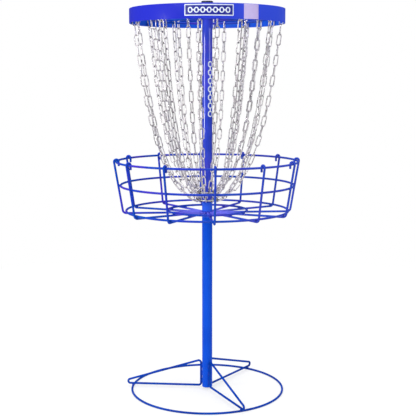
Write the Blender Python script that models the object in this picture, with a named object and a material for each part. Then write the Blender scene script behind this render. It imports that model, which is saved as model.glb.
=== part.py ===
"""Disc golf basket: a pole on a ring base, a wire basket, a band and hanging chains.

The pole stands on the Z axis, the ground is Z = 0 and the front faces -Y.
Side views are drawn as (radius, height) points and turned or placed round the pole.
Everything is in metres.
"""
import math

import bmesh
import bpy
from mathutils import Vector

# General
GAP = 0.0004                  # clearance left between touching pieces
WIRE_RADIUS = 0.00397         # 5/16 inch rod
WIRE_DIAMETER = 2 * WIRE_RADIUS
RING_STEPS = 48               # straight pieces round a large ring
SMALL_RING_STEPS = 24
RING_SIDES = 6
BEND_STEPS = 4                # straight pieces in a small bend
MERGE_DISTANCE = 0.00001

# Pole
POLE_RADIUS = 0.01905
POLE_WALL = 0.0021
POLE_STEPS = 24
POLE_BOTTOM = 0.0085
POLE_TOP = 1.430
SPIGOT_CLEARANCE = 0.0005     # between a spigot and the hub's bore
SPIGOT_DROP = POLE_WALL + SPIGOT_CLEARANCE

# Base
BASE_RING_RADIUS = 0.2825
BASE_RING_SIDES = 8
LEG_COUNT = 3
LEG_TURN = math.radians(55.2)
LEG_BEND = 0.009
LEG_TOP = 0.109
LEG_REACH = 0.3020
LEG_END_BEND = 0.0080
LEG_END_STEPS = 6

# Basket
WIRE_COUNT = 12
WIRE_TURN = math.radians(-85.3)
FLOOR_HEIGHT = 0.673
HUB_BOTTOM = 0.655
HUB_TOP = 0.711
HUB_LIP = 0.0016
HUB_LIP_HEIGHT = 0.004
RIM_RADIUS = 0.3312
RIM_HEIGHT = 0.8616
HOOK_RADIUS = 0.0085
HOOK_STEPS = 7
HOOK_TAIL = 0.016
SIDE_SLOPE = 0.168            # radius gained for each metre of height
FLOOR_BEND = 0.013
MID_HEIGHT = 0.7747
FLOOR_INNER_RADIUS = 0.146

# Band and rack
BAND_RADIUS = 0.2794
BAND_BOTTOM = 1.3556
BAND_TOP = 1.4071
BAND_SHEET = 0.0015
BAND_HEM = 0.005
BAND_HEM_DEPTH = 0.0034
BAND_STEPS = 48
ARM_COUNT = 4
ARM_TURN = math.radians(45.0)
ARM_RADIUS = 0.004
ARM_HEIGHT = 1.3768
RACK_OUTER_RADIUS = 0.268
RACK_INNER_RADIUS = 0.194
RACK_HUB_BOTTOM = 1.3718
RACK_HUB_TOP = 1.4018
RACK_HUB_WALL = 0.0035
CAP_BOTTOM = 1.412
CAP_TOP = 1.436
CAP_WALL = 0.0016
CAP_CHAMFER = 0.003

# Bolts
BOLT_RADIUS = 0.003
BOLT_HEAD_ACROSS = 0.0115     # corner to corner
BOLT_HEAD_DEPTH = 0.0042
BOLT_HOLE_STEPS = 12
DRILL_LENGTH = 0.02
RACK_BOLT_DROP = 0.008        # from the rack hub's top to its bolt

# Chains
STRAND_COUNT = 12
OUTER_TURN = math.radians(-95.4)
INNER_TURN = math.radians(-79.7)
OUTER_LINKS = 20
INNER_LINKS = 18
LINK_PITCH = 0.0368
LINK_WIRE = 0.0020            # radius
LINK_HALF_WIDTH = 0.0085
LINK_TURN_SHARE = 0.14        # share of a pitch where one link's width turns into the next one's
STRAND_END_SHARE = 0.24       # share of the first and last pitch left out round the wire they hang on
COLLECTOR_WIRE = 0.003
LOWER_COLLECTOR_RADIUS = 0.039
LOWER_COLLECTOR_HEIGHT = 0.7200
UPPER_COLLECTOR_RADIUS = 0.035
UPPER_COLLECTOR_HEIGHT = 0.7485
PULL_REACH = 0.0024           # from a collector's wire centre in to the last link's bearing
PULL_DROP = 0.0018            # and down to it

RACK_RING_LIFT = ARM_RADIUS + WIRE_RADIUS + GAP
RACK_OUTER_HEIGHT = ARM_HEIGHT + RACK_RING_LIFT
RACK_INNER_HEIGHT = ARM_HEIGHT - RACK_RING_LIFT
FLOOR_RING_HEIGHT = FLOOR_HEIGHT + WIRE_DIAMETER + GAP


# Scene and materials

def clear_scene():
    for item in list(bpy.data.objects):
        bpy.data.objects.remove(item, do_unlink=True)


def make_material(name, colour, roughness, metallic):
    material = bpy.data.materials.new(name)
    material.use_nodes = True
    shader = material.node_tree.nodes["Principled BSDF"]
    shader.inputs["Base Color"].default_value = (*colour, 1.0)
    shader.inputs["Roughness"].default_value = roughness
    shader.inputs["Metallic"].default_value = metallic
    material.diffuse_color = (*colour, 1.0)
    return material


def place(name, data, material, turn=0.0, location=(0.0, 0.0, 0.0)):
    item = bpy.data.objects.new(name, data)
    bpy.context.scene.collection.objects.link(item)
    if not data.materials:
        data.materials.append(material)
    item.location = location
    item.rotation_euler = (0.0, 0.0, turn)
    return item


# Outlines in a side view, as (radius, height) points

def arc(centre, radius, start, end, steps):
    """Points of an arc; the angles are in degrees, measured from the outward direction."""
    points = []
    for step in range(steps + 1):
        angle = math.radians(start + (end - start) * step / steps)
        points.append((centre[0] + radius * math.cos(angle), centre[1] + radius * math.sin(angle)))
    return points


def tube_profile(outer, inner, bottom, top):
    return [(outer, bottom), (outer, top), (inner, top), (inner, bottom)]


# Solids

def finish_mesh(name, shape, sharp_degrees=35.0):
    bmesh.ops.recalc_face_normals(shape, faces=shape.faces)
    mesh = bpy.data.meshes.new(name)
    shape.to_mesh(mesh)
    shape.free()
    mesh.shade_smooth()
    mesh.set_sharp_from_angle(angle=math.radians(sharp_degrees))
    return mesh


def turned_mesh(name, profile, steps, closed=True):
    """Turn a profile round the Z axis; an open profile starts and ends on the axis."""
    shape = bmesh.new()
    corners = [shape.verts.new((radius, 0.0, height)) for radius, height in profile]
    edges = [shape.edges.new(pair) for pair in zip(corners, corners[1:])]
    if closed:
        edges.append(shape.edges.new((corners[-1], corners[0])))
    bmesh.ops.spin(
        shape, geom=corners + edges, cent=(0, 0, 0), axis=(0, 0, 1),
        dvec=(0, 0, 0), angle=math.tau, steps=steps, use_merge=True,
    )
    bmesh.ops.remove_doubles(shape, verts=shape.verts, dist=MERGE_DISTANCE)
    return finish_mesh(name, shape)


def ring_mesh(name, radius, height, wire, steps, sides=RING_SIDES):
    """A round wire bent into a ring; its section has a flat side underneath."""
    half_side = math.pi / sides
    profile = []
    for side in range(sides):
        angle = -math.pi / 2 + half_side + side * math.tau / sides
        profile.append((radius + wire * math.cos(angle), height + wire * math.sin(angle)))
    return turned_mesh(name, profile, steps)


def wire_curve(name, outline, radius, closed=False, detail=1):
    """A round wire along (radius, height) points, drawn in the XZ plane."""
    curve = bpy.data.curves.new(name, "CURVE")
    curve.dimensions = "3D"
    curve.bevel_depth = radius
    curve.bevel_resolution = detail
    curve.use_fill_caps = True
    spline = curve.splines.new("POLY")
    spline.points.add(len(outline) - 1)
    for point, (reach, height) in zip(spline.points, outline):
        point.co = (reach, 0.0, height, 1.0)
    spline.use_cyclic_u = closed
    return curve


def drilled(item, position, material):
    """Cut a bolt's hole along Y through one wall of a turned piece."""
    radius = BOLT_RADIUS + GAP
    shape = bmesh.new()
    bmesh.ops.create_cone(
        shape, cap_ends=True, segments=BOLT_HOLE_STEPS, radius1=radius, radius2=radius,
        depth=DRILL_LENGTH,
    )
    drill = place(item.name + "_drill", finish_mesh(item.name + "_drill", shape), material)
    drill.location = position
    drill.rotation_euler = (math.pi / 2, 0.0, 0.0)
    drill.hide_render = True
    drill.display_type = "WIRE"
    cut = item.modifiers.new("bolt_hole", "BOOLEAN")
    cut.operation = "DIFFERENCE"
    cut.object = drill


def bolt(name, surface, tip, height, material):
    """A hexagon bolt that points from the back towards the pole's axis."""
    shape = bmesh.new()
    head = bmesh.ops.create_cone(
        shape, cap_ends=True, segments=6, radius1=BOLT_HEAD_ACROSS / 2,
        radius2=BOLT_HEAD_ACROSS / 2, depth=BOLT_HEAD_DEPTH,
    )
    bmesh.ops.translate(shape, verts=head["verts"], vec=(0, 0, BOLT_HEAD_DEPTH / 2))
    under = [face for face in shape.faces if face.normal.z < -0.9]
    shoulder = (BOLT_HEAD_ACROSS / 2 - BOLT_RADIUS) * math.cos(math.pi / 6)
    bmesh.ops.inset_region(shape, faces=under, thickness=shoulder)
    grown = bmesh.ops.extrude_face_region(shape, geom=under)
    moved = [part for part in grown["geom"] if isinstance(part, bmesh.types.BMVert)]
    bmesh.ops.translate(shape, verts=moved, vec=(0, 0, tip - surface))
    bmesh.ops.delete(shape, geom=under, context="FACES")
    item = place(name, finish_mesh(name, shape), material)
    item.location = (0.0, surface, height)
    item.rotation_euler = (-math.pi / 2, 0.0, 0.0)
    return item


# Pole

def make_pole(paint):
    inside = POLE_RADIUS - POLE_WALL
    spigot = POLE_RADIUS - SPIGOT_DROP
    spigot_inside = spigot - POLE_WALL
    middle = (HUB_BOTTOM + HUB_TOP) / 2
    lower = [
        (POLE_RADIUS, POLE_BOTTOM), (POLE_RADIUS, HUB_BOTTOM - GAP), (spigot, HUB_BOTTOM - GAP),
        (spigot, middle - GAP), (spigot_inside, middle - GAP), (spigot_inside, HUB_BOTTOM - GAP),
        (inside, HUB_BOTTOM - 2 * POLE_WALL), (inside, POLE_BOTTOM),
    ]
    upper = [
        (spigot, middle + GAP), (spigot, HUB_TOP + GAP), (POLE_RADIUS, HUB_TOP + GAP),
        (POLE_RADIUS, POLE_TOP), (inside, POLE_TOP), (inside, HUB_TOP + 2 * POLE_WALL),
        (spigot_inside, HUB_TOP + GAP), (spigot_inside, middle + GAP),
    ]
    place("lower_pole", turned_mesh("lower_pole", lower, POLE_STEPS), paint)
    place("upper_pole", turned_mesh("upper_pole", upper, POLE_STEPS), paint)


def make_cap(plastic):
    inner = POLE_RADIUS + GAP
    outer = inner + CAP_WALL
    profile = [
        (0.0, CAP_TOP), (outer - CAP_CHAMFER, CAP_TOP), (outer, CAP_TOP - CAP_CHAMFER), (outer, CAP_BOTTOM),
        (inner, CAP_BOTTOM), (inner, POLE_TOP + GAP), (0.0, POLE_TOP + GAP),
    ]
    place("pole_cap", turned_mesh("pole_cap", profile, POLE_STEPS, closed=False), plastic)


# Base

def make_base(paint):
    flat_depth = WIRE_RADIUS * math.cos(math.pi / BASE_RING_SIDES)
    ring = ring_mesh("base_ring", BASE_RING_RADIUS, flat_depth, WIRE_RADIUS, RING_STEPS, BASE_RING_SIDES)
    place("base_ring", ring, paint)

    low = WIRE_DIAMETER + WIRE_RADIUS + GAP
    inner = POLE_RADIUS + WIRE_RADIUS + GAP
    corner = (inner + LEG_BEND, LEG_TOP - LEG_BEND)
    end = (LEG_REACH - LEG_END_BEND, low + LEG_END_BEND)
    run = math.hypot(end[0] - corner[0], end[1] - corner[1])
    fall = math.degrees(math.atan2(corner[1] - end[1], end[0] - corner[0]))
    lean = 90.0 - fall - math.degrees(math.asin((LEG_END_BEND - LEG_BEND) / run))
    outline = arc((inner + LEG_BEND, low + LEG_BEND), LEG_BEND, 270.0, 180.0, BEND_STEPS)
    outline += arc(corner, LEG_BEND, 180.0, lean, BEND_STEPS)
    outline += arc(end, LEG_END_BEND, lean, -90.0, LEG_END_STEPS)
    curve = wire_curve("base_leg", outline, WIRE_RADIUS, closed=True)
    for number in range(LEG_COUNT):
        turn = LEG_TURN + number * math.tau / LEG_COUNT
        place(f"base_leg_{number + 1}", curve, paint, turn)


# Basket

def side_radius(height):
    """Radius of a basket wire's centre line on its straight side."""
    lean = math.atan(SIDE_SLOPE)
    touch_radius = RIM_RADIUS + HOOK_RADIUS * math.cos(lean)
    touch_height = RIM_HEIGHT - HOOK_RADIUS * math.sin(lean)
    return touch_radius + SIDE_SLOPE * (height - touch_height)


def floor_bend_centre():
    lean = math.atan(SIDE_SLOPE)
    height = FLOOR_HEIGHT + FLOOR_BEND
    return (side_radius(height) - FLOOR_BEND / math.cos(lean), height)


def make_basket_wires(paint):
    lean = math.degrees(math.atan(SIDE_SLOPE))
    outline = [(RIM_RADIUS - HOOK_RADIUS, RIM_HEIGHT - HOOK_TAIL)]
    outline += arc((RIM_RADIUS, RIM_HEIGHT), HOOK_RADIUS, 180.0, -lean, HOOK_STEPS)
    outline += arc(floor_bend_centre(), FLOOR_BEND, -lean, -90.0, BEND_STEPS)
    outline.append((POLE_RADIUS + GAP, FLOOR_HEIGHT))
    curve = wire_curve("basket_wire", outline, WIRE_RADIUS)
    for number in range(WIRE_COUNT):
        turn = WIRE_TURN + number * math.tau / WIRE_COUNT
        place(f"basket_wire_{number + 1:02d}", curve, paint, turn)


def make_basket_rings(paint):
    mid_radius = side_radius(MID_HEIGHT) - WIRE_DIAMETER - GAP
    rings = (
        ("rim_ring", RIM_RADIUS, RIM_HEIGHT, RING_STEPS),
        ("mid_ring", mid_radius, MID_HEIGHT, RING_STEPS),
        ("floor_outer_ring", floor_bend_centre()[0], FLOOR_RING_HEIGHT, RING_STEPS),
        ("floor_inner_ring", FLOOR_INNER_RADIUS, FLOOR_RING_HEIGHT, SMALL_RING_STEPS),
    )
    for name, radius, height, steps in rings:
        place(name, ring_mesh(name, radius, height, WIRE_RADIUS, steps), paint, WIRE_TURN)


def make_hub(paint, steel):
    bore = POLE_RADIUS - POLE_WALL
    lip = POLE_RADIUS + HUB_LIP
    profile = [
        (POLE_RADIUS, HUB_BOTTOM), (POLE_RADIUS, HUB_TOP - HUB_LIP_HEIGHT), (lip, HUB_TOP),
        (bore, HUB_TOP), (bore, HUB_BOTTOM),
    ]
    hub = place("basket_hub", turned_mesh("basket_hub", profile, POLE_STEPS), paint)
    height = (FLOOR_HEIGHT + HUB_TOP) / 2
    drilled(hub, (0.0, POLE_RADIUS, height), paint)
    spigot = POLE_RADIUS - SPIGOT_DROP
    bolt("basket_hub_bolt", POLE_RADIUS + GAP, spigot + GAP, height, steel)


# Band and rack

def make_band(paint):
    inner = BAND_RADIUS - BAND_SHEET
    hem = BAND_RADIUS - BAND_HEM_DEPTH
    profile = [
        (BAND_RADIUS, BAND_BOTTOM), (BAND_RADIUS, BAND_TOP), (hem, BAND_TOP),
        (hem, BAND_TOP - BAND_HEM), (inner, BAND_TOP - BAND_HEM),
        (inner, BAND_BOTTOM + BAND_HEM), (hem, BAND_BOTTOM + BAND_HEM), (hem, BAND_BOTTOM),
    ]
    place("top_band", turned_mesh("top_band", profile, BAND_STEPS), paint)


def make_rack(paint, steel):
    for name, radius, height in (
        ("rack_outer_ring", RACK_OUTER_RADIUS, RACK_OUTER_HEIGHT),
        ("rack_inner_ring", RACK_INNER_RADIUS, RACK_INNER_HEIGHT),
    ):
        place(name, ring_mesh(name, radius, height, WIRE_RADIUS, RING_STEPS), paint)

    hub_bore = POLE_RADIUS + GAP
    hub_radius = hub_bore + RACK_HUB_WALL
    profile = tube_profile(hub_radius, hub_bore, RACK_HUB_BOTTOM, RACK_HUB_TOP)
    hub = place("rack_hub", turned_mesh("rack_hub", profile, POLE_STEPS), paint)
    height = RACK_HUB_TOP - RACK_BOLT_DROP
    drilled(hub, (0.0, hub_radius, height), paint)
    bolt("rack_hub_bolt", hub_radius + GAP, POLE_RADIUS + GAP, height, steel)

    band_inside = (BAND_RADIUS - BAND_SHEET) * math.cos(math.pi / BAND_STEPS)
    outline = [(hub_radius + GAP, ARM_HEIGHT), (band_inside - GAP, ARM_HEIGHT)]
    curve = wire_curve("rack_arm", outline, ARM_RADIUS, detail=2)
    for number in range(ARM_COUNT):
        turn = ARM_TURN + number * math.tau / ARM_COUNT
        place(f"rack_arm_{number + 1}", curve, paint, turn)


# Chains

def catenary_size(span, rise, length):
    """Size parameter of the catenary that a chain of this length takes over a span and a rise."""
    wanted = math.sqrt(length ** 2 - rise ** 2)
    small, large = 0.01, 1.0
    for _ in range(60):
        size = (small + large) / 2
        if 2 * size * math.sinh(span / (2 * size)) > wanted:
            small = size
        else:
            large = size
    return size


def catenary(top, bottom, length):
    """A hanging chain between two (radius, height) points, as its place at a share of its length."""
    span = top[0] - bottom[0]
    rise = top[1] - bottom[1]
    size = catenary_size(span, rise, length)
    middle = (top[0] + bottom[0]) / 2
    lowest = middle - size * math.asinh(rise / (2 * size * math.sinh(span / (2 * size))))
    base = bottom[1] - size * math.cosh((bottom[0] - lowest) / size)
    first = math.sinh((top[0] - lowest) / size)
    last = math.sinh((bottom[0] - lowest) / size)

    def at(share):
        """Radius, height and downward direction, from share 0 at the top to 1 at the bottom."""
        slope = first + (last - first) * share
        radius = lowest + size * math.asinh(slope)
        height = base + size * math.cosh((radius - lowest) / size)
        return radius, height, Vector((-1.0, 0.0, -slope)).normalized()

    return at


def strand_mesh(name, top, bottom, links):
    """One strand: flat bars in turn on edge and across, one for each link, round its top point."""
    at = catenary(top, bottom, links * LINK_PITCH)
    shape = bmesh.new()
    loops = []
    for station in range(2 * links):
        link, last_half = divmod(station, 2)
        at_end = station in (0, 2 * links - 1)
        share = STRAND_END_SHARE if at_end else LINK_TURN_SHARE
        radius, height, down = at((link + (1.0 - share if last_half else share)) / links)
        side = Vector((0.0, 1.0, 0.0))
        across = down.cross(side)
        on_edge = link % 2 == 0
        across *= LINK_HALF_WIDTH if on_edge else LINK_WIRE
        side *= LINK_WIRE if on_edge else LINK_HALF_WIDTH
        centre = Vector((radius - top[0], 0.0, height - top[1]))
        corners = (across + side, side - across, -across - side, across - side)
        loops.append([shape.verts.new(centre + corner) for corner in corners])
    for above, below in zip(loops, loops[1:]):
        for corner in range(4):
            after = (corner + 1) % 4
            shape.faces.new((above[corner], above[after], below[after], below[corner]))
    shape.faces.new(loops[0])
    shape.faces.new(list(reversed(loops[-1])))
    return finish_mesh(name, shape)


def make_chains(zinc):
    sets = (
        ("chain_outer", RACK_OUTER_RADIUS, RACK_OUTER_HEIGHT,
         LOWER_COLLECTOR_RADIUS, LOWER_COLLECTOR_HEIGHT, OUTER_TURN, OUTER_LINKS),
        ("chain_inner", RACK_INNER_RADIUS, RACK_INNER_HEIGHT,
         UPPER_COLLECTOR_RADIUS, UPPER_COLLECTOR_HEIGHT, INNER_TURN, INNER_LINKS),
    )
    for name, ring_radius, ring_height, end_radius, end_height, first_turn, links in sets:
        top = (ring_radius, ring_height + WIRE_RADIUS)
        bottom = (end_radius - PULL_REACH, end_height - PULL_DROP)
        mesh = strand_mesh(name, top, bottom, links)
        for number in range(STRAND_COUNT):
            turn = first_turn + number * math.tau / STRAND_COUNT
            hook = (ring_radius * math.cos(turn), ring_radius * math.sin(turn), top[1])
            place(f"{name}_{number + 1:02d}", mesh, zinc, turn, hook)


def make_collectors(zinc):
    for name, radius, height in (
        ("collector_ring_lower", LOWER_COLLECTOR_RADIUS, LOWER_COLLECTOR_HEIGHT),
        ("collector_ring_upper", UPPER_COLLECTOR_RADIUS, UPPER_COLLECTOR_HEIGHT),
    ):
        mesh = ring_mesh(name, radius, 0.0, COLLECTOR_WIRE, SMALL_RING_STEPS)
        place(name, mesh, zinc, 0.0, (0.0, 0.0, height))


def main():
    clear_scene()
    paint = make_material("blue_powder_coat", (0.030, 0.075, 0.72), 0.38, 0.0)
    zinc = make_material("zinc_plate", (0.62, 0.63, 0.65), 0.32, 1.0)
    steel = make_material("bolt_steel", (0.50, 0.51, 0.53), 0.35, 1.0)
    plastic = make_material("cap_plastic", (0.010, 0.014, 0.055), 0.50, 0.0)
    make_pole(paint)
    make_cap(plastic)
    make_base(paint)
    make_basket_wires(paint)
    make_basket_rings(paint)
    make_hub(paint, steel)
    make_band(paint)
    make_rack(paint, steel)
    make_chains(zinc)
    make_collectors(zinc)


main()
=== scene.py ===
"""Looks of a disc golf basket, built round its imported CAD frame.

Everything is in metres, +Z is up and the front faces -Y. Side views are drawn as
(radius, height) points and turned round the pole, which stands on the Z axis.
"""
import math
import random

import bmesh
import bpy
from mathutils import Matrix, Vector


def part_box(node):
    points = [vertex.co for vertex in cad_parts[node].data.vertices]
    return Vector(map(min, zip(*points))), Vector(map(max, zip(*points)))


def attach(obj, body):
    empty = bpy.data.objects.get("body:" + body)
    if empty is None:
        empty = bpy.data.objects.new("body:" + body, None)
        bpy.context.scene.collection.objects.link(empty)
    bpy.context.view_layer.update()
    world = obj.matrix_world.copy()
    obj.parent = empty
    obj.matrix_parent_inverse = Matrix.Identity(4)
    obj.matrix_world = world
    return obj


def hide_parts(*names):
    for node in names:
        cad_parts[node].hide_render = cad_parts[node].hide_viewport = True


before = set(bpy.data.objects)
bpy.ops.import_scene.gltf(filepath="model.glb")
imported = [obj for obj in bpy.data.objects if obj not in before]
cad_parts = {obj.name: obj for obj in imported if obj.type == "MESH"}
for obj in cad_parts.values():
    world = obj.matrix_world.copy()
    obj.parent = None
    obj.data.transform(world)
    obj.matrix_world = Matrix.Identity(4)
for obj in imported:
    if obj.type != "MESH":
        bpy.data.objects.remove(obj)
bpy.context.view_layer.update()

STAND = "stand"
ROD = 0.00397                 # radius of the 5/16 inch rod
ROD_SIDES = 18
RING_STEPS = 180
TURN_STEPS = 96
END_EASE = 0.35               # how far back a rod's cut end is rounded, as a share of its radius
END_SWELL = 0.72              # radius of the cut itself, as a share of the rod's
EDGE = 0.0005                 # broken edge of a turned piece
GAP = 0.0004                  # left between neighbouring pieces, as in the CAD frame
SLIP = 0.0003                 # left round the pole where another piece sits on it
UP = Vector((0, 0, 1))

# Basket wires and legs, as bent in the CAD frame
HOOK_RADIUS = 0.00836
HOOK_TAIL = 0.016
SIDE_SLOPE = 0.168
FLOOR_BEND = 0.013
LEG_BEND = 0.009
LEG_END_BEND = 0.0080
ARM_RADIUS = 0.004

# Pole, hub, cap and bolts
POLE_WALL = 0.0021
HUB_FLARE_DROP = 0.0055       # below the hub's top, where its flare starts, bends and meets the lip
HUB_BEND_DROP = 0.0030
HUB_LIP_DROP = 0.0012
HUB_LIP_SLOPE = 0.0002
CAP_BEND = 0.0032
CAP_CROWN = 0.0001
CAP_CROWN_INSET = 0.005
BOLT_STEPS = 48
BOLT_HEAD_DEPTH = 0.0042
BOLT_FLAT_SHARE = 0.866       # of the head's width across its corners
SHANK_RADIUS = 0.0029
SHANK_END_RADIUS = 0.0026
WASHER_RADIUS = 0.0056
WASHER_BACK_RADIUS = 0.0054
CROWN_RADIUS = 0.0040         # of the head's flat end, and of the chamfer round it
CHAMFER_RADIUS = 0.0049

# Band
BAND_SHEET = 0.0015
BAND_HEM = 0.005
BAND_HEM_DEPTH = 0.0034
BAND_EASE = 0.0012
BAND_STEPS = 192
SEAM_WIDTH = 0.026
SEAM_INSET = 0.0006           # of the band's height that the lap leaves free
SEAM_CORNER = 0.0010
SEAM_LIFT = 0.0009
RIVET_PITCH = 0.016
RIVET_SIDES = 20
RIVET_PROFILE = ((0.0, 0.0046), (0.0007, 0.0044), (0.0013, 0.0034), (0.0016, 0.0018), (0.0017, 0.0))

# Weld beads, as half length and radius
BLOB_ROWS = 7
BLOB_SIDES = 10
RING_SEAM_TURN = math.radians(112.0)
RING_SEAM_LENGTH = 0.0036
SEAM_SWELL = 1.14             # radius of a ring's own weld, as a share of its rod's
SEAM_LIFT_SHARE = 0.32        # keeps the base ring's weld off the ground
BASKET_BEAD = (0.0042, 0.0021)
RIM_BEAD = (0.0052, 0.0022)
TAIL_BEAD = (0.0048, 0.0020)
HUB_SIDE_BEAD = (0.0036, 0.0022)
HUB_TOP_BEAD = (0.0034, 0.0022)
LEG_BEAD = (0.0046, 0.0022)
LEG_POLE_BEAD = (0.0085, 0.0022)
ARM_BEAD = (0.0024, 0.0016)
RACK_BEAD = (0.0042, 0.0020)
ARM_BEADS = 8                 # round each end of an arm
ARM_BEAD_RADIUS = 0.0043      # of the circle they stand on
RACK_BEAD_OFFSET = 0.0036
RIM_BEAD_OFFSET = 0.0012
LEG_BEAD_INSET = 0.022        # from the two ends of a leg's upright side

# Chains
LINK_WIRE = 0.0020            # radius
LINK_HALF_WIDTH = 0.0067      # to the wire's centre
LINK_PITCH = 0.0368
LINK_SIDES = 10
LINK_ARC_STEPS = 8
LINK_SIDE_SHARES = (0.30, 0.42, 0.50, 0.58, 0.70)
LINK_WELD = {LINK_ARC_STEPS + 2: 1.07, LINK_ARC_STEPS + 3: 1.16, LINK_ARC_STEPS + 4: 1.07}
LOOSE_TURN = 15.0             # degrees a link may turn either way on its strand
COLLECTOR_WIRE = 0.003
COLLECTOR_STEPS = 72
COLLECTOR_SEAM_LENGTH = 0.0032
COLLECTOR_SEAM_SWELL = 1.16
OUTER_LINKS = 20
INNER_LINKS = 18
TWISTED_LINKS = 9             # links at the bottom over which a strand turns a quarter
BEARING_GAP = 0.00015         # between an end link and the ring it hangs round
BEARING_ROUNDS = 4
HALVINGS = 60                 # in the search for a catenary's size

# Printed marks
SIDE_STEPS = 14
FILM = 0.00012                # thickness of a printed film
FILM_LIFT = 0.00005           # of a film off its surface, and of a film on another film
UPPER_FILM_LIFT = 0.0002
FILL_SHARES = (1.0, 0.8, 0.6, 0.4, 0.2)
LEAST_CORNER = 0.0004
LINK_SHARE = 0.74             # shares of a printed link's pitch
BAR_SHARE = 0.56
BAR_WIDTH_SHARE = 0.24        # shares of the row's width
STROKE_SHARE = 0.20
LINK_CORNER_SHARE = 0.46      # of a printed link's smaller side
PRINTED_LINKS = 7
PANEL_TURN = (-15.6, 18.2)    # degrees round the band from its front
PANEL_INSET = (0.0096, 0.0044)
PANEL_EDGE = 0.001            # of the frame that stands past its ground
PANEL_GROUND_CORNER = 0.0022
PANEL_CORNER = 0.0024
PANEL_STROKE = 0.0032
PANEL_MARGIN = 0.018
PANEL_ROW_WIDTH = 0.0190
SQUARE_TURN = (25.9, 37.9)
SQUARE_INSET = 0.0024
SQUARE_CORNER = 0.0015
POLE_ROW_TURN = math.radians(36.0)
POLE_ROW_HEIGHTS = (1.0194, 1.2268)
POLE_ROW_WIDTH = 0.0185

# Studio
FLOOR_RADIUS = 2.6
AIM_HEIGHT = 0.85
CAMERA_PLACE = (0.0, -3.380, 1.146)
CAMERA_PITCH = math.radians(7.71)
CAMERA_SENSOR = 36.0
CAMERA_LENS = 80.07
CAMERA_SHIFT = 0.0019


# Places read from the frame

def node_points(node):
    return [vertex.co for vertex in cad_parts[node].data.vertices]


def node_turn(node):
    """The direction of a piece seen from above, as an angle round the pole."""
    points = node_points(node)
    middle = sum(points, Vector()) / len(points)
    return math.atan2(middle.y, middle.x)


def ring_place(node):
    """Centre line radius and height of a ring."""
    reaches = [math.hypot(point.x, point.y) for point in node_points(node)]
    low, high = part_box(node)
    return (max(reaches) + min(reaches)) / 2, (low.z + high.z) / 2


def reach(node):
    return max(math.hypot(point.x, point.y) for point in node_points(node))


# Outlines, as (radius, height) points

def arc(centre, radius, start, end, steps):
    points = []
    for step in range(steps + 1):
        angle = math.radians(start + (end - start) * step / steps)
        points.append((centre[0] + radius * math.cos(angle), centre[1] + radius * math.sin(angle)))
    return points


def around(point, turn):
    """A (radius, height) point placed at an angle round the pole."""
    return Vector((point[0] * math.cos(turn), point[0] * math.sin(turn), point[1]))


# Mesh building

def to_object(name, shape, material, sharp=40.0):
    bmesh.ops.recalc_face_normals(shape, faces=shape.faces)
    mesh = bpy.data.meshes.new(name)
    shape.to_mesh(mesh)
    shape.free()
    mesh.shade_smooth()
    mesh.set_sharp_from_angle(angle=math.radians(sharp))
    mesh.materials.append(material)
    item = bpy.data.objects.new(name, mesh)
    bpy.context.scene.collection.objects.link(item)
    return item


def skin(shape, rows):
    """Faces between neighbouring rows of corners; a row of one corner closes to a point."""
    for first, second in zip(rows, rows[1:]):
        count = max(len(first), len(second))
        for step in range(count):
            after = (step + 1) % count
            corners = (
                first[step % len(first)], first[after % len(first)],
                second[after % len(second)], second[step % len(second)],
            )
            shape.faces.new(list(dict.fromkeys(corners)))


def add_tube(shape, path, normal, radius, closed=False, sides=ROD_SIDES, swell=None):
    """Sweep a round wire along a flat path whose plane has the given normal."""
    count = len(path)
    loops = []
    for index, point in enumerate(path):
        if closed:
            ahead = path[(index + 1) % count] - path[index - 1]
        else:
            ahead = path[min(index + 1, count - 1)] - path[max(index - 1, 0)]
        side = ahead.cross(normal).normalized()
        size = radius * (swell(index) if swell else 1.0)
        loop = []
        for step in range(sides):
            angle = math.tau * step / sides
            loop.append(shape.verts.new(point + size * (math.cos(angle) * side + math.sin(angle) * normal)))
        loops.append(loop)
    skin(shape, loops + loops[:1] if closed else loops)
    if not closed:
        shape.faces.new(loops[0])
        shape.faces.new(list(reversed(loops[-1])))


def ease_ends(path, radius):
    """Extra points that let add_tube round off both cut ends of a rod."""
    start = (path[0] - path[1]).normalized()
    end = (path[-1] - path[-2]).normalized()
    head = [path[0], path[0] - start * radius * END_EASE]
    tail = [path[-1] - end * radius * END_EASE, path[-1]]
    return head + path[1:-1] + tail


def rod_swell(count):
    """Swell of a rod with rounded cut ends."""
    return lambda index: END_SWELL if index in (0, count - 1) else 1.0


def turned(shape, profile, steps=TURN_STEPS, closed=True):
    """Turn a profile of (radius, height) points, none of them doubled, round the pole's axis."""
    rows = []
    for radius, height in profile:
        spots = circle(radius, height, steps if radius else 1)
        rows.append([shape.verts.new(spot) for spot in spots])
    skin(shape, rows + rows[:1] if closed else rows)


def circle(radius, height, steps=RING_STEPS):
    return [around((radius, height), math.tau * step / steps) for step in range(steps)]


def add_blob(shape, centre, along, length, thickness, rng):
    """A lumpy weld bead: half length along a direction, and a radius across it."""
    side = along.orthogonal().normalized()
    other = along.cross(side)
    rows = []
    lumps = [rng.uniform(0.88, 1.14) for _ in range(BLOB_ROWS + 1)]
    for row in range(BLOB_ROWS + 1):
        angle = math.pi * row / BLOB_ROWS
        middle = centre + along * length * math.cos(angle)
        reach_out = thickness * math.sin(angle) * lumps[row]
        if row in (0, BLOB_ROWS):
            rows.append([shape.verts.new(middle)])
            continue
        rows.append([
            shape.verts.new(
                middle + side * reach_out * math.cos(math.tau * step / BLOB_SIDES)
                + other * reach_out * math.sin(math.tau * step / BLOB_SIDES)
            )
            for step in range(BLOB_SIDES)
        ])
    skin(shape, rows)


# Materials

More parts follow.
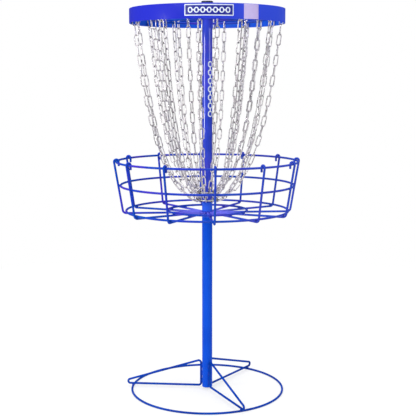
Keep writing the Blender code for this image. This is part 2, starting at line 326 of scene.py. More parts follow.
class Nodes:
    """Short calls that build one material's node tree."""

    def __init__(self, name):
        self.material = bpy.data.materials.new(name)
        self.material.use_nodes = True
        self.tree = self.material.node_tree
        self.shader = self.tree.nodes["Principled BSDF"]
        self.place = self.tree.nodes.new("ShaderNodeTexCoord").outputs["Object"]

    def join(self, source, target):
        self.tree.links.new(source, target)

    def noise(self, scale, detail=3.0, roughness=0.5):
        node = self.tree.nodes.new("ShaderNodeTexNoise")
        node.inputs["Scale"].default_value = scale
        node.inputs["Detail"].default_value = detail
        node.inputs["Roughness"].default_value = roughness
        self.join(self.place, node.inputs["Vector"])
        return node.outputs["Fac"]

    def ramp(self, factor, stops):
        node = self.tree.nodes.new("ShaderNodeValToRGB")
        elements = node.color_ramp.elements
        while len(elements) < len(stops):
            elements.new(0.5)
        for element, (position, colour) in zip(elements, stops):
            element.position = position
            element.color = (*colour, 1.0)
        self.join(factor, node.inputs["Fac"])
        return node.outputs["Color"]

    def range(self, factor, low, high, start=0.3, end=0.7):
        node = self.tree.nodes.new("ShaderNodeMapRange")
        node.inputs["From Min"].default_value = start
        node.inputs["From Max"].default_value = end
        node.inputs["To Min"].default_value = low
        node.inputs["To Max"].default_value = high
        self.join(factor, node.inputs["Value"])
        return node.outputs["Result"]

    def mix(self, factor, first, second):
        node = self.tree.nodes.new("ShaderNodeMix")
        node.data_type = "RGBA"
        self.join(factor, node.inputs["Factor"])
        for value, socket in ((first, node.inputs["A"]), (second, node.inputs["B"])):
            if isinstance(value, tuple):
                socket.default_value = (*value, 1.0)
            else:
                self.join(value, socket)
        return node.outputs["Result"]

    def axis(self, name):
        """One coordinate of the place on the object, such as the height above the ground."""
        node = self.tree.nodes.new("ShaderNodeSeparateXYZ")
        self.join(self.place, node.inputs["Vector"])
        return node.outputs[name]

    def reach(self):
        """Distance from the pole's axis."""
        level = self.tree.nodes.new("ShaderNodeVectorMath")
        level.operation = "MULTIPLY"
        level.inputs[1].default_value = (1.0, 1.0, 0.0)
        self.join(self.place, level.inputs[0])
        length = self.tree.nodes.new("ShaderNodeVectorMath")
        length.operation = "LENGTH"
        self.join(level.outputs["Vector"], length.inputs[0])
        return length.outputs["Value"]

    def occlusion(self, distance):
        """How open the surface is, from 0 in a tight crossing to 1."""
        node = self.tree.nodes.new("ShaderNodeAmbientOcclusion")
        node.inputs["Distance"].default_value = distance
        node.samples = 8
        return node.outputs["AO"]

    def edges(self):
        """Above one half on outward edges."""
        return self.tree.nodes.new("ShaderNodeNewGeometry").outputs["Pointiness"]

    def bump(self, layers):
        """Stack (height, strength, distance) bumps."""
        below = None
        for height, strength, distance in layers:
            node = self.tree.nodes.new("ShaderNodeBump")
            node.inputs["Strength"].default_value = strength
            node.inputs["Distance"].default_value = distance
            self.join(height, node.inputs["Height"])
            if below:
                self.join(below, node.inputs["Normal"])
            below = node.outputs["Normal"]
        self.join(below, self.shader.inputs["Normal"])

    def set(self, **values):
        for key, value in values.items():
            socket = self.shader.inputs[key.replace("_", " ")]
            if isinstance(value, bpy.types.NodeSocket):
                self.join(value, socket)
            elif isinstance(value, tuple):
                socket.default_value = (*value, 1.0)
            else:
                socket.default_value = value
        return self


def powder_coat(name, light, deep, warm=None, dust=0.0, drift_and_side_light=None, inner=None, gloss=0.04, sheen=0.06):
    """Powder coat over welded steel: orange peel, slow colour change, worn edges and small chips.

    warm is a third colour in the slow change, and dust is a share near the ground. The colour towards +X
    is partly a shift in the paint and partly painted light that lightens that side. inner is painted light:
    a lighter colour near the pole's axis, with its share, and the two distances between which it fades out.
    """
    nodes = Nodes(name)
    slow = nodes.noise(7.0, 4.0)
    stops = [(0.40, deep), (0.50, light)]
    if warm:
        stops.append((0.61, warm))
    colour = nodes.ramp(slow, stops)
    if drift_and_side_light:
        # Partly painted light: the colour towards +X lightens that side, besides a real shift in the paint.
        across = nodes.range(nodes.axis("X"), 0.0, 0.85, -0.10, 0.30)
        colour = nodes.mix(across, colour, drift_and_side_light)
    # Painted light: a lighter colour is mixed in near the pole's axis, where light falls on the band's inner
    # face and on the floor wires by the hub.
    if inner:
        inner_light_tint, share, near, far = inner
        colour = nodes.mix(nodes.range(nodes.reach(), share, 0.0, near, far), colour, inner_light_tint)
    worn = nodes.range(nodes.edges(), 0.0, 0.30, 0.53, 0.62)
    colour = nodes.mix(worn, colour, tuple(0.02 + 0.95 * part for part in light))
    chips = nodes.range(nodes.noise(95.0, 6.0, 0.7), 0.0, 0.45, 0.68, 0.80)
    colour = nodes.mix(chips, colour, tuple(0.35 * part for part in deep))
    if dust:
        near_ground = nodes.range(nodes.axis("Z"), dust, 0.0, 0.0, 0.05)
        colour = nodes.mix(near_ground, colour, (0.020, 0.060, 0.26))
    nodes.set(
        Base_Color=colour, Metallic=0.0, Specular_IOR_Level=sheen, Coat_Weight=gloss, Coat_Roughness=0.05,
        Roughness=nodes.range(nodes.noise(38.0, 4.0), 0.28, 0.46),
    )
    fine = nodes.noise(260.0, 2.0)
    nodes.bump([(fine, 0.10, 0.0006), (nodes.noise(1500.0, 1.0), 0.05, 0.0002)])
    return nodes.material


def zinc(name, light, dark):
    """Zinc plate on welded steel: mottled, with painted shade in its hollows where links cross, fine draw
    lines and scuffs.
    """
    nodes = Nodes(name)
    mottle = nodes.noise(140.0, 5.0, 0.62)
    colour = nodes.ramp(mottle, [(0.28, dark), (0.52, light), (0.80, tuple(1.15 * p for p in light))])
    scuffs = nodes.range(nodes.noise(420.0, 3.0, 0.6), 0.0, 0.5, 0.60, 0.78)
    colour = nodes.mix(scuffs, colour, tuple(0.55 * part for part in dark))
    # Painted shade: the zinc is darkened where occlusion is high, in tight hollows and where links cross.
    painted_crossing_shade = nodes.range(nodes.occlusion(0.0070), 1.0, 0.0, 0.48, 0.89)
    colour = nodes.mix(painted_crossing_shade, colour, tuple(0.12 * part for part in dark))
    nodes.set(
        Base_Color=colour, Metallic=1.0,
        Roughness=nodes.range(nodes.noise(75.0, 4.0), 0.20, 0.46),
    )
    nodes.bump([(nodes.noise(900.0, 3.0), 0.18, 0.0002), (mottle, 0.12, 0.0004)])
    return nodes.material


def moulded_plastic(name, colour):
    nodes = Nodes(name)
    shade = nodes.ramp(nodes.noise(30.0, 4.0), [(0.3, colour), (0.8, tuple(1.9 * part for part in colour))])
    nodes.set(Base_Color=shade, Roughness=nodes.range(nodes.noise(120.0), 0.38, 0.60))
    nodes.bump([(nodes.noise(1400.0, 2.0), 0.25, 0.0003)])
    return nodes.material


def vinyl(name, colour, worn):
    """Printed vinyl: a satin film with faint mottling and scuffs."""
    nodes = Nodes(name)
    shade = nodes.ramp(nodes.noise(55.0, 5.0, 0.65), [(0.25, worn), (0.55, colour)])
    nodes.set(Base_Color=shade, Roughness=nodes.range(nodes.noise(60.0), 0.30, 0.48), Coat_Weight=0.2)
    nodes.bump([(nodes.noise(800.0, 2.0), 0.06, 0.0002)])
    return nodes.material


blue = powder_coat(
    "blue_powder_coat", (0.030, 0.058, 0.61), (0.017, 0.049, 0.54), warm=(0.055, 0.052, 0.61), gloss=1.0,
)
# Painted light: the band lightens towards +X and on its inner face; the shift towards +X is also partly a
# real change in the paint.
band_blue = powder_coat(
    "blue_powder_coat_band", (0.021, 0.029, 0.53), (0.0155, 0.026, 0.49),
    drift_and_side_light=(0.050, 0.112, 0.90), inner=((0.012, 0.115, 0.74), 0.85, 0.2782, 0.2790),
    gloss=0.02, sheen=0.055,
)
pole_blue = powder_coat("blue_powder_coat_pole", (0.0008, 0.074, 0.62), (0.0004, 0.064, 0.57), gloss=0.02)
# Painted light: the hub is a lighter blue than the pole, where the key light falls on it.
key_lit_hub_blue = powder_coat("blue_powder_coat_hub", (0.028, 0.118, 0.76), (0.020, 0.100, 0.70), gloss=0.02)
# The rods' colour towards +X is partly a shift in the paint and partly painted light on that side.
rod_colours = {
    "light": (0.012, 0.042, 0.46),
    "deep": (0.004, 0.062, 0.44),
    "warm": (0.052, 0.032, 0.48),
    "drift_and_side_light": (0.036, 0.076, 0.50),
}
wire_blue = powder_coat("blue_powder_coat_rod", **rod_colours)
# Painted light: the floor wires are lightened near the hub, where light catches their tops.
floor_wire_blue_lit_near_hub = powder_coat("blue_powder_coat_floor", **rod_colours, inner=((0.24, 0.23, 1.0), 0.8, 0.05, 0.16))
ground_blue = powder_coat(
    "blue_powder_coat_base", (0.0012, 0.050, 0.40), (0.0006, 0.034, 0.32), dust=0.16, gloss=0.01, sheen=0.03,
)
chain_zinc = zinc("zinc_chain", (0.77, 0.73, 0.75), (0.25, 0.23, 0.24))
ring_zinc = zinc("zinc_ring", (0.48, 0.47, 0.46), (0.26, 0.25, 0.25))
bolt_zinc = zinc("zinc_bolt", (0.56, 0.56, 0.57), (0.36, 0.36, 0.38))
cap_black = moulded_plastic("cap_plastic", (0.006, 0.008, 0.030))
white_vinyl = vinyl("white_vinyl", (0.80, 0.86, 0.94), (0.55, 0.64, 0.86))
pale_vinyl = vinyl("pale_vinyl", (0.53, 0.42, 0.79), (0.46, 0.365, 0.73))
label_vinyl = vinyl("label_vinyl", (0.008, 0.014, 0.30), (0.006, 0.010, 0.20))


def keep(item, body, slot, *nodes):
    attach(item, body)
    if nodes:
        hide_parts(*nodes)


# Rings and rods of the stand

ring_rng = random.Random(3)


def make_ring(node, material):
    """A ring of rod with its own weld; the base ring lies on the ground."""
    centre, height = ring_place(node)
    if node == "base_ring":
        height = ROD
    seam = height + (SEAM_LIFT_SHARE * ROD if node == "base_ring" else 0.0)
    shape = bmesh.new()
    add_tube(shape, circle(centre, height), UP, ROD, closed=True)
    add_blob(
        shape, around((centre, seam), RING_SEAM_TURN), flat_normal(RING_SEAM_TURN),
        RING_SEAM_LENGTH, SEAM_SWELL * ROD, ring_rng,
    )
    keep(to_object(node + "_rod", shape, material), STAND, "blue_powder_coat", node)


def flat_normal(turn):
    """Normal of the upright plane through the pole at an angle."""
    return Vector((math.sin(turn), -math.cos(turn), 0.0))


def make_rod(node, outline, turn, material, radius=ROD, closed=False):
    """A rod bent along a flat outline; an open rod has eased cut ends."""
    path = [around(point, turn) for point in outline]
    swell = None
    if not closed:
        path = ease_ends(path, radius)
        swell = rod_swell(len(path))
    shape = bmesh.new()
    add_tube(shape, path, flat_normal(turn), radius, closed, swell=swell)
    keep(to_object(node + "_rod", shape, material), STAND, "blue_powder_coat", node)


rim_radius, rim_height = ring_place("rim_ring")
floor_radius = ring_place("floor_outer_ring")[0]
floor_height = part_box("basket_wire_01")[0].z + ROD
pole_radius = reach("lower_pole")


def basket_wire_outline():
    """Tail, hook over the rim, slanted side, bend under the floor ring and run in to the pole."""
    lean = math.degrees(math.atan(SIDE_SLOPE))
    outline = [(rim_radius - HOOK_RADIUS, rim_height - HOOK_TAIL)]
    outline += arc((rim_radius, rim_height), HOOK_RADIUS, 180.0, -lean, 20)
    outline += arc((floor_radius, floor_height + FLOOR_BEND), FLOOR_BEND, -lean, -90.0, 10)
    outline.append((pole_radius, floor_height))
    return outline


def leg_outline():
    """Closed loop: foot at the pole, up the pole, over and down to the outer end, and back."""
    low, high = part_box("base_leg_1")
    bottom = low.z + ROD
    top = high.z - ROD
    inner = pole_radius + ROD + GAP
    outer = reach("base_leg_1") - ROD
    corner = (inner + LEG_BEND, top - LEG_BEND)
    end = (outer - LEG_END_BEND, bottom + LEG_END_BEND)
    run = math.hypot(end[0] - corner[0], end[1] - corner[1])
    fall = math.degrees(math.atan2(corner[1] - end[1], end[0] - corner[0]))
    lean = 90.0 - fall - math.degrees(math.asin((LEG_END_BEND - LEG_BEND) / run))
    outline = arc((inner + LEG_BEND, bottom + LEG_BEND), LEG_BEND, 270.0, 180.0, 8)
    outline += arc(corner, LEG_BEND, 180.0, lean, 10)
    outline += arc(end, LEG_END_BEND, lean, -90.0, 16)
    return outline


make_ring("base_ring", ground_blue)
for name in ("rim_ring", "mid_ring", "floor_outer_ring", "floor_inner_ring"):
    make_ring(name, wire_blue)
for name in ("rack_outer_ring", "rack_inner_ring"):
    make_ring(name, wire_blue)

wire_turns = []
for number in range(1, 13):
    name = f"basket_wire_{number:02d}"
    wire_turns.append(node_turn(name))
    make_rod(name, basket_wire_outline(), wire_turns[-1], floor_wire_blue_lit_near_hub)

leg_turns = []
for number in range(1, 4):
    name = f"base_leg_{number}"
    leg_turns.append(node_turn(name))
    make_rod(name, leg_outline(), leg_turns[-1], ground_blue, closed=True)


# Pole, hub and cap

def make_turned(node, profile, material):
    shape = bmesh.new()
    turned(shape, profile)
    keep(to_object(node + "_shell", shape, material), STAND, "blue_powder_coat", node)


def tube_section(outer, inner, bottom, top, ease=0.0006):
    """Profile of a tube's wall with broken edges."""
    return [
        (outer - ease, bottom), (outer, bottom + ease), (outer, top - ease), (outer - ease, top),
        (inner + ease, top), (inner, top - ease), (inner, bottom + ease), (inner + ease, bottom),
    ]


hub_low, hub_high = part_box("basket_hub")
lower_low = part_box("lower_pole")[0]
upper_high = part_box("upper_pole")[1]
cap_low, cap_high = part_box("pole_cap")
rack_low, rack_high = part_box("rack_hub")

pole_bore = pole_radius - POLE_WALL
make_turned("lower_pole", tube_section(pole_radius, pole_bore, lower_low.z, hub_low.z - GAP), pole_blue)
make_turned("upper_pole", tube_section(pole_radius - SLIP, pole_bore, hub_high.z + GAP, upper_high.z), blue)

lip = reach("basket_hub")
hub_profile = [
    (pole_bore, hub_low.z),
    (pole_radius - EDGE, hub_low.z),
    (pole_radius, hub_low.z + EDGE),
    (pole_radius, hub_high.z - HUB_FLARE_DROP),
    (pole_radius + EDGE, hub_high.z - HUB_BEND_DROP),
    (lip - HUB_LIP_SLOPE, hub_high.z - HUB_LIP_DROP),
    (lip, hub_high.z - EDGE),
    (lip - EDGE, hub_high.z),
    (pole_bore, hub_high.z),
]
make_turned("basket_hub", hub_profile, key_lit_hub_blue)

cap_outer = reach("pole_cap")
cap_bore = pole_radius + SLIP
cap_profile = [(0.0, cap_high.z), (cap_outer - CAP_CROWN_INSET, cap_high.z - CAP_CROWN)]
cap_profile += arc((cap_outer - CAP_BEND, cap_high.z - CAP_BEND - CAP_CROWN), CAP_BEND, 80.0, 0.0, 6)
cap_profile += [(cap_outer, cap_low.z + EDGE), (cap_outer - EDGE, cap_low.z), (cap_bore, cap_low.z)]
cap_profile += [(cap_bore, upper_high.z + GAP), (0.0, upper_high.z + GAP)]
shape = bmesh.new()
turned(shape, cap_profile, closed=False)
keep(to_object("pole_cap_shell", shape, cap_black), STAND, "cap_plastic", "pole_cap")

rack_outer = reach("rack_hub")
make_turned("rack_hub", tube_section(rack_outer, pole_radius + SLIP, rack_low.z, rack_high.z), blue)


# Band

band_low, band_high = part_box("top_band")
band_radius = reach("top_band")


def band_profile():
    """Section of the sheet with its two hems turned inwards."""
    inner = band_radius - BAND_SHEET
    hem = band_radius - BAND_HEM_DEPTH
    ease = BAND_EASE
    outline = arc((band_radius - ease, band_low.z + ease), ease, -90.0, 0.0, 5)
    outline += arc((band_radius - ease, band_high.z - ease), ease, 0.0, 90.0, 5)
    outline += arc((hem + ease, band_high.z - ease), ease, 90.0, 180.0, 5)
    outline += arc((hem + EDGE, band_high.z - BAND_HEM + EDGE), EDGE, 180.0, 270.0, 3)
    outline += [(inner, band_high.z - BAND_HEM), (inner, band_low.z + BAND_HEM)]
    outline += arc((hem + EDGE, band_low.z + BAND_HEM - EDGE), EDGE, 90.0, 180.0, 3)
    outline += arc((hem + ease, band_low.z + ease), ease, 180.0, 270.0, 5)
    return outline


shape = bmesh.new()
turned(shape, band_profile(), steps=BAND_STEPS)
keep(to_object("top_band_sheet", shape, band_blue), STAND, "blue_powder_coat", "top_band")

arm_height = (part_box("rack_arm_1")[0].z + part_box("rack_arm_1")[1].z) / 2
for number in range(1, 5):
    name = f"rack_arm_{number}"
    outline = [(rack_outer, arm_height), (band_radius - BAND_SHEET, arm_height)]
    make_rod(name, outline, node_turn(name), wire_blue, radius=ARM_RADIUS)


# Chains

def catenary_size(span, rise, length):
    """Size parameter of the catenary that a chain of this length takes over a span and a rise."""
    wanted = math.sqrt(length ** 2 - rise ** 2)
    small, large = 0.01, 1.0
    for _ in range(HALVINGS):
        size = (small + large) / 2
        if 2 * size * math.sinh(span / (2 * size)) > wanted:
            small = size
        else:
            large = size
    return size


def catenary(top, bottom, length):
    """Radius and height at a share of the chain's length, from 0 at the top to 1 at the bottom."""
    span = top[0] - bottom[0]
    rise = top[1] - bottom[1]
    size = catenary_size(span, rise, length)
    middle = (top[0] + bottom[0]) / 2
    lowest = middle - size * math.asinh(rise / (2 * size * math.sinh(span / (2 * size))))
    base = bottom[1] - size * math.cosh((bottom[0] - lowest) / size)
    first = math.sinh((top[0] - lowest) / size)
    last = math.sinh((bottom[0] - lowest) / size)

    def at(share):
        radius = lowest + size * math.asinh(first + (last - first) * share)
        return radius, base + size * math.cosh((radius - lowest) / size)

    return at


def bearing(centre, radius, end, inner):
    """Where a link that runs from end to inner bears on a round wire."""
    run = math.hypot(inner[0] - end[0], inner[1] - end[1])
    reach_out = (radius + BEARING_GAP) / run
    return centre[0] - reach_out * (inner[0] - end[0]), centre[1] - reach_out * (inner[1] - end[1])


def hung_catenary(ring, collector, links):
    """Catenary of a strand whose two end links bear on the rings along their own lines."""
    top = ring
    bottom = collector
    length = links * LINK_PITCH
    for _ in range(BEARING_ROUNDS):
        at = catenary(top, bottom, length)
        top = bearing(ring, ROD, at(0.0), at(1 / links))
        bottom = bearing(collector, COLLECTOR_WIRE, at(1.0), at(1 - 1 / links))
    return catenary(top, bottom, length)


def link_path(start, end, flat):
    """Closed centre line of one link that bears at start and end; flat is the direction of its width."""
    along = (end - start).normalized()
    centre = (start + end) / 2
    half = (end - start).length / 2 + LINK_WIRE - LINK_HALF_WIDTH
    wide = (flat - along * flat.dot(along)).normalized()
    points = []
    for side in (1, -1):
        for step in range(LINK_ARC_STEPS + 1):
            angle = math.pi * step / LINK_ARC_STEPS
            across = side * LINK_HALF_WIDTH * math.cos(angle)
            out = side * (half + LINK_HALF_WIDTH * math.sin(angle))
            points.append(centre + wide * across + along * out)
        for share in LINK_SIDE_SHARES:
            points.append(centre - wide * side * LINK_HALF_WIDTH + along * side * half * (1 - 2 * share))
    return points, wide.cross(along).normalized()


def smooth_step(share):
    share = min(1.0, max(0.0, share))
    return share * share * (3 - 2 * share)


def make_strand(node, ring, collector, links, rng):
    """One strand of welded links, hung round a rack ring and gathered on a collector ring."""
    turn = node_turn(node)
    at = hung_catenary(ring_place(ring), ring_place(collector), links)
    joints = [around(at(step / links), turn) for step in range(links + 1)]
    side = Vector((-math.sin(turn), math.cos(turn), 0.0))
    shape = bmesh.new()
    for index in range(links):
        near_end = min(index, links - 1 - index)
        loose = math.radians(rng.uniform(-LOOSE_TURN, LOOSE_TURN)) * min(1.0, near_end / 3)
        twist = smooth_step((index - (links - TWISTED_LINKS)) / (TWISTED_LINKS - 1)) * math.pi / 2
        angle = loose + twist + (math.pi / 2 if index % 2 == 0 else 0.0)
        along = (joints[index + 1] - joints[index]).normalized()
        flat = side * math.cos(angle) + side.cross(along).normalized() * math.sin(angle)
        points, normal = link_path(joints[index], joints[index + 1], flat)
        add_tube(
            shape, points, normal, LINK_WIRE, closed=True, sides=LINK_SIDES,
            swell=lambda spot: LINK_WELD.get(spot, 1.0),
        )
    keep(to_object(node + "_links", shape, chain_zinc, 60.0), node, "zinc_plate", node)


rng = random.Random(24)
for number in range(1, 13):
    make_strand(f"chain_outer_{number:02d}", "rack_outer_ring", "collector_ring_lower", OUTER_LINKS, rng)
    make_strand(f"chain_inner_{number:02d}", "rack_inner_ring", "collector_ring_upper", INNER_LINKS, rng)

for name in ("collector_ring_lower", "collector_ring_upper"):
    centre, height = ring_place(name)
    shape = bmesh.new()
    add_tube(shape, circle(centre, height, COLLECTOR_STEPS), UP, COLLECTOR_WIRE, closed=True)
    add_blob(
        shape, Vector((0.0, centre, height)), Vector((1, 0, 0)),
        COLLECTOR_SEAM_LENGTH, COLLECTOR_SEAM_SWELL * COLLECTOR_WIRE, rng,
    )
    keep(to_object(name + "_wire", shape, ring_zinc), name, "zinc_plate", name)


# Bolts

def hex_bolt(node):
    """A hexagon head with a chamfered crown on a washer, on the back of the pole, over its shank."""
    low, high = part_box(node)
    middle = (low + high) / 2
    flat = (high.z - low.z) * BOLT_FLAT_SHARE / 2
    outer = high.y
    seat = outer - BOLT_HEAD_DEPTH
    # Place along the bolt, largest radius, and half the width across the flats where it has them
    loops = [
        (low.y, 0.0, 0.0), (low.y, SHANK_END_RADIUS, 0.0), (seat - 0.0004, SHANK_RADIUS, 0.0),
        (seat - 0.0004, WASHER_BACK_RADIUS, 0.0), (seat + 0.0004, WASHER_RADIUS, 0.0),
        (seat + 0.0005, 0.0046, 0.0), (seat + 0.0006, 1.0, flat), (outer - 0.0010, 1.0, flat),
        (outer - 0.0003, CHAMFER_RADIUS, flat), (outer, CROWN_RADIUS, flat), (outer, 0.0, 0.0),
    ]
    shape = bmesh.new()
    rows = []
    for place, limit, flats in loops:
        row = []
        for step in range(BOLT_STEPS if limit else 1):
            angle = math.tau * step / BOLT_STEPS
            corner = (angle + math.pi / 6) % (math.pi / 3) - math.pi / 6
            radius = min(limit, flats / math.cos(corner)) if flats else limit
            x, z = radius * math.cos(angle), radius * math.sin(angle)
            row.append(shape.verts.new((middle.x + x, place, middle.z + z)))
        rows.append(row)
    skin(shape, rows)
    keep(to_object(node + "_hex", shape, bolt_zinc, 30.0), STAND, "bolt_steel", node)


for name in ("basket_hub_bolt", "rack_hub_bolt"):
    hex_bolt(name)


# Weld beads

bead_rng = random.Random(7)


def weld(shape, contact, across, share, along, size):
    """Two beads along a joint, one each side of it, at a share of the rod's radius."""
    for way in (1, -1):
        add_blob(shape, contact + across * way * share * ROD, along, *size, bead_rng)


def directions(turn):
    """Outwards and sideways at an angle round the pole."""
    out = Vector((math.cos(turn), math.sin(turn), 0.0))
    return out, UP.cross(out)


def add_stand_beads():
    """A small lumpy weld at every place where two rods, or a rod and a tube, meet."""
    shape = bmesh.new()
    floor_rings = [ring_place("floor_outer_ring")[0], ring_place("floor_inner_ring")[0]]
    mid_radius, mid_height = ring_place("mid_ring")
    for turn in wire_turns:
        out, side = directions(turn)
        for radius in floor_rings:
            weld(shape, out * radius + UP * (floor_height + ROD), side, 0.8, out, BASKET_BEAD)
        weld(shape, out * (mid_radius + ROD) + UP * mid_height, side, 0.8, UP, BASKET_BEAD)
        for offset in (ROD + RIM_BEAD_OFFSET, -ROD - RIM_BEAD_OFFSET):
            spot = out * (rim_radius + offset) + UP * (rim_height + 0.3 * ROD)
            add_blob(shape, spot, side, *RIM_BEAD, bead_rng)
        tail = out * (rim_radius - HOOK_RADIUS + ROD) + UP * (rim_height - 0.2 * ROD)
        add_blob(shape, tail, side, *TAIL_BEAD, bead_rng)
        contact = out * pole_radius + UP * floor_height
        weld(shape, contact, side, 1.0, UP, HUB_SIDE_BEAD)
        weld(shape, contact, UP, 1.0, side, HUB_TOP_BEAD)
    base_radius = ring_place("base_ring")[0]
    leg_low, leg_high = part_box("base_leg_1")
    leg_heights = (leg_low.z + LEG_BEAD_INSET, (leg_low.z + leg_high.z) / 2, leg_high.z - LEG_BEAD_INSET)
    for turn in leg_turns:
        out, side = directions(turn)
        weld(shape, out * base_radius + UP * (leg_low.z - 0.0002), side, 0.85, out, LEG_BEAD)
        for height in leg_heights:
            weld(shape, out * pole_radius + UP * height, side, 0.9, UP, LEG_POLE_BEAD)
    keep(to_object("weld_beads_stand", shape, wire_blue, 80.0), STAND, "blue_powder_coat")


def add_rack_beads():
    """Beads round both ends of each arm, and where the arms cross the rack rings."""
    shape = bmesh.new()
    for number in range(1, 5):
        out, side = directions(node_turn(f"rack_arm_{number}"))
        for radius in (rack_outer + GAP, band_radius - BAND_SHEET - GAP):
            for step in range(ARM_BEADS):
                angle = math.tau * step / ARM_BEADS
                ring_way = side * math.cos(angle) + UP * math.sin(angle)
                tangent = UP * math.cos(angle) - side * math.sin(angle)
                spot = out * radius + UP * arm_height + ring_way * ARM_BEAD_RADIUS
                add_blob(shape, spot, tangent, *ARM_BEAD, bead_rng)
        for ring, way_up in (("rack_outer_ring", 1), ("rack_inner_ring", -1)):
            contact = out * ring_place(ring)[0] + UP * (arm_height + way_up * ARM_RADIUS)
            for way in (1, -1):
                add_blob(shape, contact + side * way * RACK_BEAD_OFFSET, out, *RACK_BEAD, bead_rng)
    keep(to_object("weld_beads_rack", shape, wire_blue, 80.0), STAND, "blue_powder_coat")


add_stand_beads()
add_rack_beads()


# Printed marks: flat outlines, wrapped round a tube or the band

def rounded_outline(centre, width, height, corner, steps=6):
    """A closed outline of a rounded rectangle, as (across, up) points with even sides."""
    bends = []
    for quarter, (way_x, way_y) in enumerate(((1, 1), (-1, 1), (-1, -1), (1, -1))):
        hub = (centre[0] + way_x * (width / 2 - corner), centre[1] + way_y * (height / 2 - corner))
        bends.append(arc(hub, corner, 90.0 * quarter, 90.0 * (quarter + 1), steps))
    points = []
    for bend, following in zip(bends, bends[1:] + bends[:1]):
        points += bend
        start, finish = bend[-1], following[0]
        for step in range(1, SIDE_STEPS):
            share = step / SIDE_STEPS
            points.append((
                start[0] + (finish[0] - start[0]) * share, start[1] + (finish[1] - start[1]) * share,
            ))
    return points


def add_film(shape, loops, radius, lift):
    """A thin closed skin on a cylinder between nested outlines, or filled where the last is a point."""
    sheets = []
    for outside in (radius + lift + FILM, radius + lift):
        rows = []
        for loop in loops:
            row = []
            for across, height in loop:
                turn = across / radius
                row.append(shape.verts.new((outside * math.sin(turn), -outside * math.cos(turn), height)))
            rows.append(row)
        sheets.append(rows)
    for rows in sheets:
        skin(shape, rows)
    front, back = sheets
    for rim in [0] if len(loops[-1]) == 1 else [0, -1]:
        skin(shape, [front[rim], back[rim]])


def frame_loops(centre, width, height, corner, stroke):
    """Outer and inner outline of a frame."""
    inner_corner = max(corner - stroke, LEAST_CORNER)
    return [
        rounded_outline(centre, width, height, corner),
        rounded_outline(centre, width - 2 * stroke, height - 2 * stroke, inner_corner),
    ]


def filled_loops(centre, width, height, corner):
    """Nested outlines that fill a rounded rectangle down to its centre."""
    loops = []
    for share in FILL_SHARES:
        loops.append([
            (centre[0] + (x - centre[0]) * share, centre[1] + (y - centre[1]) * share)
            for x, y in rounded_outline(centre, width, height, corner)
        ])
    return loops + [[centre]]


def print_item(name, material, loop_sets, radius, lift=FILM_LIFT):
    shape = bmesh.new()
    for loops in loop_sets:
        add_film(shape, loops, radius, lift)
    keep(to_object(name, shape, material, 30.0), STAND, "blue_powder_coat")


def chain_row(centre, length, width, count, upright=False):
    """Outlines of a plain printed chain: open links joined by bars, along or up a surface."""
    pitch = length / count
    loop_sets = []
    for index in range(count):
        offset = (index + 0.5) * pitch - length / 2
        link = (pitch * LINK_SHARE, width)
        bar = (pitch * BAR_SHARE, width * BAR_WIDTH_SHARE)
        for share, size, framed in ((0.0, link, True), (0.5, bar, False)):
            if not framed and index == count - 1:
                continue
            along = offset + share * pitch
            spot = (centre[0], centre[1] + along) if upright else (centre[0] + along, centre[1])
            across, tall = (size[1], size[0]) if upright else size
            corner = min(size) * LINK_CORNER_SHARE
            if framed:
                loop_sets.append(frame_loops(spot, across, tall, corner, width * STROKE_SHARE))
            else:
                loop_sets.append(filled_loops(spot, across, tall, corner))
    return loop_sets


def make_band_marks():
    """A framed panel with a row of printed links, and a plain pale square beside it."""
    left, right = [math.radians(turn) * band_radius for turn in PANEL_TURN]
    bottom, top = band_low.z + PANEL_INSET[0], band_high.z - PANEL_INSET[1]
    centre = ((left + right) / 2, (bottom + top) / 2)
    wide, tall = right - left, top - bottom
    ground = filled_loops(centre, wide - PANEL_EDGE, tall - PANEL_EDGE, PANEL_GROUND_CORNER)
    marks = [frame_loops(centre, wide, tall, PANEL_CORNER, PANEL_STROKE)]
    marks += chain_row(centre, wide - PANEL_MARGIN, PANEL_ROW_WIDTH, PRINTED_LINKS)
    print_item("band_panel_ground", label_vinyl, [ground], band_radius)
    print_item("band_panel_marks", white_vinyl, marks, band_radius, lift=UPPER_FILM_LIFT)
    left, right = [math.radians(turn) * band_radius for turn in SQUARE_TURN]
    middle = ((left + right) / 2, (band_low.z + band_high.z) / 2)
    square = filled_loops(middle, right - left, band_high.z - band_low.z - SQUARE_INSET, SQUARE_CORNER)
    print_item("band_square", pale_vinyl, [square], band_radius)


def make_pole_marks():
    """A plain printed chain down the pole."""
    bottom, top = POLE_ROW_HEIGHTS
    centre = (POLE_ROW_TURN * pole_radius, (top + bottom) / 2)
    marks = chain_row(centre, top - bottom, POLE_ROW_WIDTH, PRINTED_LINKS, upright=True)
    print_item("pole_marks", white_vinyl, marks, pole_radius)


make_band_marks()
make_pole_marks()


# Band seam at the back

def make_band_seam():
    """A lap joint at the back of the band: the overlap, its end edge and three rivets."""
    turned_half_way = math.pi * band_radius
    middle = (band_low.z + band_high.z) / 2
    tall = band_high.z - band_low.z - SEAM_INSET
    shape = bmesh.new()
    loops = filled_loops((turned_half_way, middle), SEAM_WIDTH, tall, SEAM_CORNER)
    add_film(shape, loops, band_radius, SEAM_LIFT)
    keep(to_object("band_seam_lap", shape, band_blue, 30.0), STAND, "blue_powder_coat")
    shape = bmesh.new()
    for height in (middle - RIVET_PITCH, middle, middle + RIVET_PITCH):
        rows = []
        for lift, radius in RIVET_PROFILE:
            reach_y = band_radius + SEAM_LIFT + lift
            row = []
            for step in range(RIVET_SIDES if radius else 1):
                angle = math.tau * step / RIVET_SIDES
                spot = (radius * math.cos(angle), reach_y, height + radius * math.sin(angle))
                row.append(shape.verts.new(spot))
            rows.append(row)
        shape.faces.new(rows[0])
        skin(shape, rows)
    keep(to_object("band_seam_rivets", shape, bolt_zinc, 50.0), STAND, "bolt_steel")


make_band_seam()


# Floor, light and camera

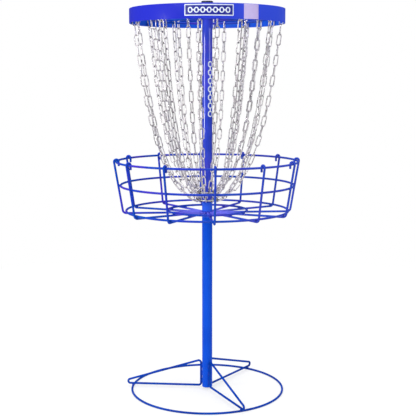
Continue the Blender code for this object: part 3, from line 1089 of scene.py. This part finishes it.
def make_floor():
    """A pale matt floor with a faint glow that grows outwards, so that it meets the white room."""
    nodes = Nodes("pale_floor")
    shade = nodes.ramp(nodes.noise(1.5, 4.0), [(0.2, (0.30, 0.30, 0.30)), (0.8, (0.31, 0.31, 0.31))])
    nodes.set(Base_Color=shade, Roughness=0.8, Specular_IOR_Level=0.1)
    glow = nodes.range(nodes.reach(), 0.66, 0.735, 0.4, FLOOR_RADIUS)
    nodes.set(Emission_Color=(1.0, 1.0, 1.0), Emission_Strength=glow)
    nodes.bump([(nodes.noise(300.0, 2.0), 0.03, 0.0005)])
    shape = bmesh.new()
    bmesh.ops.create_circle(shape, cap_ends=True, segments=96, radius=FLOOR_RADIUS)
    floor = to_object("floor", shape, nodes.material)


def make_light(name, location, size, energy, colour=(1.0, 1.0, 1.0), height=None):
    """A soft light aimed at the object; one with a height is an upright strip that stays level."""
    data = bpy.data.lights.new(name, "AREA")
    data.size = size
    if height:
        data.shape = "RECTANGLE"
        data.size_y = height
    data.energy = energy
    data.color = colour
    item = bpy.data.objects.new(name, data)
    item.location = location
    aim = Vector((0.0, 0.0, AIM_HEIGHT)) - Vector(location)
    if height:
        aim.z = 0.0
    item.rotation_euler = aim.to_track_quat("-Z", "Y").to_euler()
    bpy.context.scene.collection.objects.link(item)


def make_world():
    """A white room: plain white behind the object, and greyer walls that plated wire can reflect."""
    world = bpy.data.worlds.new("studio")
    world.use_nodes = True
    tree = world.node_tree
    place = tree.nodes.new("ShaderNodeTexCoord")
    split = tree.nodes.new("ShaderNodeSeparateXYZ")
    walls = tree.nodes.new("ShaderNodeValToRGB")
    walls.color_ramp.elements[0].position = 0.50
    walls.color_ramp.elements[0].color = (0.15, 0.15, 0.16, 1.0)
    walls.color_ramp.elements[1].position = 0.80
    walls.color_ramp.elements[1].color = (0.66, 0.67, 0.69, 1.0)
    tree.links.new(place.outputs["Generated"], split.inputs["Vector"])
    tree.links.new(split.outputs["Z"], walls.inputs["Fac"])
    seen = tree.nodes.new("ShaderNodeLightPath")
    choice = tree.nodes.new("ShaderNodeMix")
    choice.data_type = "RGBA"
    choice.inputs["B"].default_value = (1.0, 1.0, 1.0, 1.0)
    tree.links.new(seen.outputs["Is Camera Ray"], choice.inputs["Factor"])
    tree.links.new(walls.outputs["Color"], choice.inputs["A"])
    background = tree.nodes["Background"]
    tree.links.new(choice.outputs["Result"], background.inputs["Color"])
    background.inputs["Strength"].default_value = 1.0
    bpy.context.scene.world = world


def make_camera():
    data = bpy.data.cameras.new("camera")
    data.sensor_width = CAMERA_SENSOR
    data.lens = CAMERA_LENS
    data.shift_x = CAMERA_SHIFT
    item = bpy.data.objects.new("camera", data)
    item.location = CAMERA_PLACE
    item.rotation_euler = (math.pi / 2 - CAMERA_PITCH, 0.0, 0.0)
    bpy.context.scene.collection.objects.link(item)
    bpy.context.scene.camera = item


make_floor()
make_world()
make_light("key", (-2.2, -3.2, 3.0), 2.0, 110.0, (1.0, 0.985, 0.97))
make_light("fill", (3.2, -2.0, 2.0), 2.0, 50.0, (0.95, 0.98, 1.0))
make_light("top", (0.2, 0.6, 4.2), 2.6, 90.0)
make_light("strip", (-2.3, -1.22, 1.13), 0.40, 22.0, height=0.62)
make_camera()
bpy.context.scene.view_settings.view_transform = "Standard"
